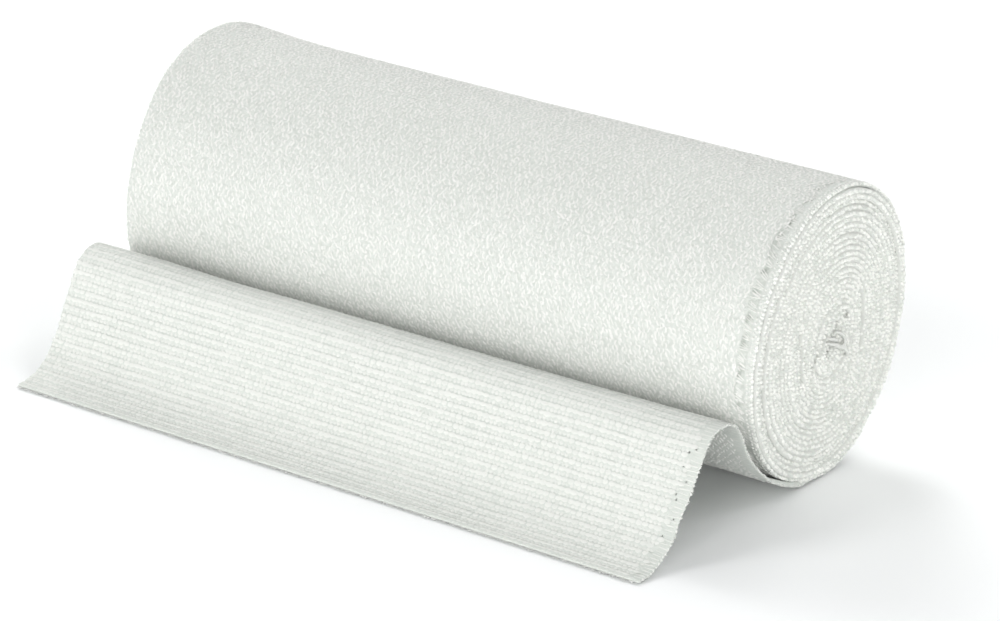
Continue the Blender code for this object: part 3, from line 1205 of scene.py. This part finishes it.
# %% [markdown]
# ## The bare weft
# Inside the roll's right edge a few warp threads are missing. The weft crosses that gap as
# thin rungs, which the twist pulls into slanted bundles. On the loose end the weft lies
# straight, as short bars over the last two millimetres before the edge. Both lie across the
# cloth, so their guide points give the crosswise direction as the one along the thread.

# %% Rungs of the ladder on the roll
RUNG_BUNDLE = 0.0017
RUNGS_A_BUNDLE = 4
RUNG_STEP = 0.00030
RUNG_HEIGHT = 0.00010
BUNDLE_PLACE = (0.2, 0.8)  # where a bundle's middle may lie in its share of the length
BUNDLE_LEAN = (0.48, 0.25)  # how far the bundles lean down to the right, and how much it varies
FAN = (0.16, 0.06)  # how far the rungs of a bundle fan out, and how much it varies
RUNG_JITTER = (0.00020, 0.00010)  # across and along


def crosswise_guide(ribbon, along, across, side, height, slope):
    """Guide points of threads that lie across the cloth and lean by a slope."""
    points, tangent, outward = ribbon.at(along, across)
    outward = outward * side
    crosswise = np.zeros_like(tangent)
    crosswise[:, 0] = 1
    crosswise -= slope[:, None] * tangent
    return guide_mesh(points + outward * height, crosswise, outward)


def rung_guide(ribbon, seed):
    """Guide points of the rungs, a few to a bundle, which lean down to the right."""
    draw = np.random.default_rng(seed)
    count = round(ribbon.length / RUNG_BUNDLE)
    middle = (np.arange(count) + draw.uniform(*BUNDLE_PLACE, count)) * RUNG_BUNDLE
    lean = BUNDLE_LEAN[0] + draw.uniform(-BUNDLE_LEAN[1], BUNDLE_LEAN[1], count)
    order = np.arange(RUNGS_A_BUNDLE) - (RUNGS_A_BUNDLE - 1) / 2
    along = (middle[:, None] + RUNG_STEP * order).ravel()
    slope = (lean[:, None] + FAN[0] * order).ravel() + draw.uniform(-FAN[1], FAN[1], along.size)
    along = along + draw.uniform(-RUNG_JITTER[1], RUNG_JITTER[1], along.size)
    along = np.clip(along, 0, ribbon.length)
    across = (ladder_left(along) + LADDER[1]) / 2
    across = across + draw.uniform(-RUNG_JITTER[0], RUNG_JITTER[0], along.size)
    return crosswise_guide(ribbon, along, across, 1, RUNG_HEIGHT, slope)


RUNG = {
    **OUTER_FLOAT, "Width": 0.00022, "Length": 0.00200, "Height": 0.00034, "Bend": 0.6,
    "Slant": 0.10,
}
outer_rungs = lay_threads("outer_rungs", rung_guide(outer_turn, 51), RUNG, 51)

# %% Bars of the loose end, on both sides
BAR_HEIGHT = 0.00012
BAR_INSET = 0.00010
BAR_JITTER = 0.00012


def bar_guide(ribbon, ribs, side, seed):
    draw = np.random.default_rng(seed)
    count = 2 * ribs
    along = (np.arange(count) + 0.5) * ribbon.length / count
    across = np.full(count, (BARS_START + HALF_WIDTH) / 2 - BAR_INSET)
    across = across + draw.uniform(-BAR_JITTER, BAR_JITTER, count)
    return crosswise_guide(ribbon, along, across, side, BAR_HEIGHT, np.zeros(count))


# The bars take the greyer copy of the cotton: painted shade.
BAR = {
    **OUTER_FLOAT, "Width": 0.00050, "Length": 0.00240, "Height": 0.00030, "Bend": 0.0,
    "Slant": 0.10, "Cotton": shaded_inside_cotton,
}
loose_bars = []
for label, side, seed in (("top", -1, 52), ("under", 1, 53)):
    guide = bar_guide(loose_end, loose_ribs, side, seed)
    loose_bars.append(lay_threads("loose_bars_" + label, guide, BAR, seed))

# %% [markdown]
# ## The cut end
# The loose end is cut across. The warp threads end there in a soft ragged line, and they
# hang down to the floor by a fraction of a millimetre. One more row of floats, a little
# thicker and more slanted than the rest, is enough for that.

# %% Cut ends of the warp
CUT_JITTER = 0.00015
CUT_DROP = 0.00022
CUT_END = {
    **OUTER_FLOAT, "Width": 0.00044, "Length": 0.00095, "Height": 0.00034, "Bend": 0.8,
    "Slant": 0.40,
}
cut_count = round(CLOTH_WIDTH / WARP_PITCH)
cut_across = (np.arange(cut_count) + 0.5) * WARP_PITCH - HALF_WIDTH
cut_draw = np.random.default_rng(61)
points, tangent, outward = loose_end.at(np.full(cut_count, loose_length), cut_across)
points += tangent * cut_draw.uniform(-CUT_JITTER, CUT_JITTER, cut_count)[:, None]
points[:, 2] -= CUT_DROP
cut_ends = lay_threads("cut_ends", guide_mesh(points, tangent, outward), CUT_END, 61)

# %% [markdown]
# ## The eye of the roll
# In the middle of the end a tuft of fibres fills the slit that the first turns leave, and a
# few ends of yarn stick out of it. The tuft is made of the same floats, scattered over the
# slit. Each yarn is a small tube along a bent line, with two lobes that wind round it,
# because a yarn is twisted from two strands. A curve with a round bevel would be simpler,
# but it would show no twist.

# %% A tuft in the eye
TUFT_COUNT = 46
TUFT_REACH = (0.0036, 0.0010)  # half its length and half its width
TUFT_DEPTH = (-0.0007, 0.0004)
TUFT = {
    **OUTER_FLOAT, "Width": 0.00040, "Length": 0.00120, "Height": 0.00040, "Bend": 1.4,
    "Slant": 1.5, "Tilt": 0.5,
}
tuft_draw = np.random.default_rng(71)
ring = tuft_draw.uniform(0, 2 * math.pi, TUFT_COUNT)
reach = np.sqrt(tuft_draw.uniform(0, 1, TUFT_COUNT))
long_way = TUFT_REACH[0] * reach * np.cos(ring)
short_way = TUFT_REACH[1] * reach * np.sin(ring)
out = roll_high.x + tuft_draw.uniform(*TUFT_DEPTH, TUFT_COUNT)
back = long_way * math.cos(EYE_SLANT) - short_way * math.sin(EYE_SLANT)
up = long_way * math.sin(EYE_SLANT) + short_way * math.cos(EYE_SLANT)
tuft_points = np.stack([out, AXIS_ACROSS + back, AXIS_HEIGHT + up - EYE_DROP], -1)
outwards = np.tile((1.0, 0.0, 0.0), (TUFT_COUNT, 1))
upwards = np.tile((0.0, math.cos(EYE_SLANT), math.sin(EYE_SLANT)), (TUFT_COUNT, 1))
eye_tuft = lay_threads("eye_tuft", guide_mesh(tuft_points, upwards, outwards), TUFT, 71)

# %% Twisted ends of yarn
YARN_RADIUS = 0.00027
YARN_TWIST = 22  # radians along the whole yarn
YARN_STEPS = 26
YARN_SIDES = 8
YARN_ACROSS = (0.3, 0.2, 0.93)  # a direction that no yarn runs in
LOBE = 0.30
TAPER = 6  # how soon the ends grow to the full radius
BLUNT_END = 0.02
YARN_LINES = (  # backwards, up and out, in millimetres from the axis at the roll's right end
    ((-0.8, 0.8, 0.8), (0.9, 0.2, 1.5), (1.8, -1.0, 1.6), (1.5, -1.8, 1.4), (0.3, -1.8, 0.9)),
    ((-0.3, -1.8, 0.8), (1.3, -2.1, 1.5), (2.8, -3.2, 1.6), (3.9, -4.4, 0.9)),
    ((-2.9, 0.4, 0.7), (-1.4, -0.1, 1.4), (0.1, -0.6, 0.9)),
    ((-2.7, -0.5, 0.7), (-0.9, -1.1, 1.4), (0.9, -1.7, 0.9)),
)


def yarn_tube(line):
    """Points of one yarn, in rings along a smooth line through given points."""
    knots = np.linspace(0, 1, len(line))
    shape = [np.polyfit(knots, line[:, k], min(3, len(line) - 1)) for k in range(3)]
    run = np.linspace(0, 1, YARN_STEPS)
    middle = np.stack([np.polyval(curve, run) for curve in shape], -1)
    heading = np.gradient(middle, axis=0)
    heading /= np.linalg.norm(heading, axis=1, keepdims=True)
    first = np.cross(heading, YARN_ACROSS)
    first /= np.linalg.norm(first, axis=1, keepdims=True)
    second = np.cross(heading, first)
    angle = np.arange(YARN_SIDES) * 2 * math.pi / YARN_SIDES
    lobes = 1 + LOBE * np.cos(2 * (angle[None, :] - YARN_TWIST * run[:, None]))
    from_end = np.minimum(run, 1 - run) + BLUNT_END
    taper = np.sqrt(np.clip(TAPER * from_end, 0, 1))
    reach = YARN_RADIUS * lobes * taper[:, None]
    cosine, sine = np.cos(angle)[None, :, None], np.sin(angle)[None, :, None]
    ring = cosine * first[:, None] + sine * second[:, None]
    return (middle[:, None] + ring * reach[..., None]).reshape(-1, 3)


yarn_rings = np.arange(YARN_STEPS * YARN_SIDES).reshape(YARN_STEPS, YARN_SIDES)
yarn_sides = quads_between(yarn_rings).reshape(-1, 4).tolist()
yarn_sides += [yarn_rings[0][::-1].tolist(), yarn_rings[-1].tolist()]
yarn_points, yarn_faces = [], []
for number, places in enumerate(YARN_LINES):
    line = [
        (roll_high.x + 0.001 * out, AXIS_ACROSS + 0.001 * back, AXIS_HEIGHT + 0.001 * up)
        for back, up, out in places
    ]
    yarn_points.append(yarn_tube(np.array(line)))
    first = number * yarn_rings.size
    yarn_faces += [[corner + first for corner in face] for face in yarn_sides]
eye_yarns = mesh_piece("eye_yarns", np.concatenate(yarn_points), yarn_faces, thread_cotton)
report(eye_yarns)

# %% [markdown]
# ## Everything rides on one body
# A bandage has no joints, so every piece rides on the only body. The inner turns and the
# outer turn stand for the wound solid, and the loose cloth for the sheet in front, and
# those two solids are hidden. The threads of each ride along with it.

# %% Every piece rides on the root body, and two solids of the frame are hidden
roll_threads = [*outer_floats, outer_band, outer_rungs]
roll_threads += [edge_loops["outer", "left"], edge_loops["outer", "right"]]
inner_threads = [edge_loops["inner", "left"], edge_loops["inner", "right"], eye_yarns, eye_tuft]
loose_threads = [*loose_floats, *loose_bars, cut_ends]
loose_threads += [edge_loops["loose", "left"], edge_loops["loose", "right"]]
for pieces, slot in (
    ([outer_ground, inner_ground, *roll_threads, *inner_threads], "roll_cloth"),
    ([loose_ground, *loose_threads], "loose_cloth"),
):
    for piece in pieces:
        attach(piece, "root")
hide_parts("wound_roll")
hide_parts("wound_roll")
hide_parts("loose_end")

# %% [markdown]
# ## Floor, light and camera
# The floor is plain white, and the surround is a very dim, faintly blue white, which tints
# the shadow. Soft lights stand in a ring round the roll: low ones in front and at the sides,
# and higher ones behind, so that the upper front of the roll is a little darker than the
# rest. All are the same distance away, so that their powers can be compared. The camera
# looks down from the front right through a long lens, which keeps the two ends of the roll
# nearly parallel, and it is rolled a little, as a camera held by hand is.

# %% The floor and the surround
FLOOR_REACH = 6.0
FLOOR_SURFACE = {
    "Base Color": (0.97, 0.98, 0.98, 1),
    "Roughness": 0.9,
    "Specular IOR Level": 0.0,
}
SURROUND = {"Color": (0.75, 0.93, 1, 1), "Strength": 0.025}
floor_white = bpy.data.materials.new("white_floor")
floor_white.use_nodes = True
fill(floor_white.node_tree.nodes["Principled BSDF"], FLOOR_SURFACE)
corners = np.array([(-1, -1, 0), (1, -1, 0), (1, 1, 0), (-1, 1, 0)]) * FLOOR_REACH
floor = mesh_piece("floor", corners, [(0, 1, 2, 3)], floor_white)

world = bpy.data.worlds.new("white_surround")
bpy.context.scene.world = world
world.use_nodes = True
fill(world.node_tree.nodes["Background"], SURROUND)

# %% The lights
LIGHT_DISTANCE = 1.3
LIGHT_AIM = Vector((0, 0, 0.02))
LIGHTS = {  # azimuth from the front to the right, elevation, size in metres, power in watts
    "front_low": (-15, 5, 0.5, 5.0),
    "front_left": (-30, 23, 0.5, 5.2),
    "front_right": (15, 24, 0.5, 4.5),
    "right_low": (50, 8, 0.5, 7.0),
    "back_right": (120, 15, 0.6, 3.4),
    "right_high": (120, 50, 0.6, 3.2),
    "back": (180, 30, 0.7, 3.1),
    "back_high": (180, 55, 0.7, 2.6),
    "back_left": (-130, 38, 0.6, 8.6),
    "high_left": (-110, 65, 0.6, 2.2),
}


def soft_light(name, azimuth, elevation, size, power):
    """A square light that looks at the roll."""
    azimuth, elevation = math.radians(azimuth), math.radians(elevation)
    flat = math.cos(elevation)
    away = Vector((math.sin(azimuth) * flat, -math.cos(azimuth) * flat, math.sin(elevation)))
    light = bpy.data.lights.new(name, "AREA")
    light.size = size
    light.energy = power
    lamp = in_scene(name, light)
    lamp.location = LIGHT_AIM + LIGHT_DISTANCE * away
    lamp.rotation_mode = "QUATERNION"
    lamp.rotation_quaternion = (-away).to_track_quat("-Z", "Y")


for name, numbers in LIGHTS.items():
    soft_light(name, *numbers)
print("lights:", list(LIGHTS))

# %% The camera
CAMERA_AIM = Vector((0.0152, -0.0116, 0.0250))
CAMERA_DISTANCE = 0.772
CAMERA_TURN = (31.69, 20.02, 3.55)  # azimuth, elevation and roll
CAMERA_LENS = 177.1
SENSOR_WIDTH = 36.0
azimuth, elevation, roll = (math.radians(angle) for angle in CAMERA_TURN)
turn = Matrix.Rotation(azimuth, 4, "Z") @ Matrix.Rotation(math.pi / 2 - elevation, 4, "X")
turn = turn @ Matrix.Rotation(roll, 4, "Z")
away = CAMERA_DISTANCE * (turn @ Vector((0, 0, 1)))
camera_data = bpy.data.cameras.new("camera")
camera_data.sensor_width = SENSOR_WIDTH
camera_data.lens = CAMERA_LENS
camera = in_scene("camera", camera_data)
camera.matrix_world = Matrix.Translation(CAMERA_AIM + away) @ turn
bpy.context.scene.camera = camera
bpy.context.scene.view_settings.view_transform = "Standard"
print("camera at, mm:", in_mm(camera.matrix_world.translation))
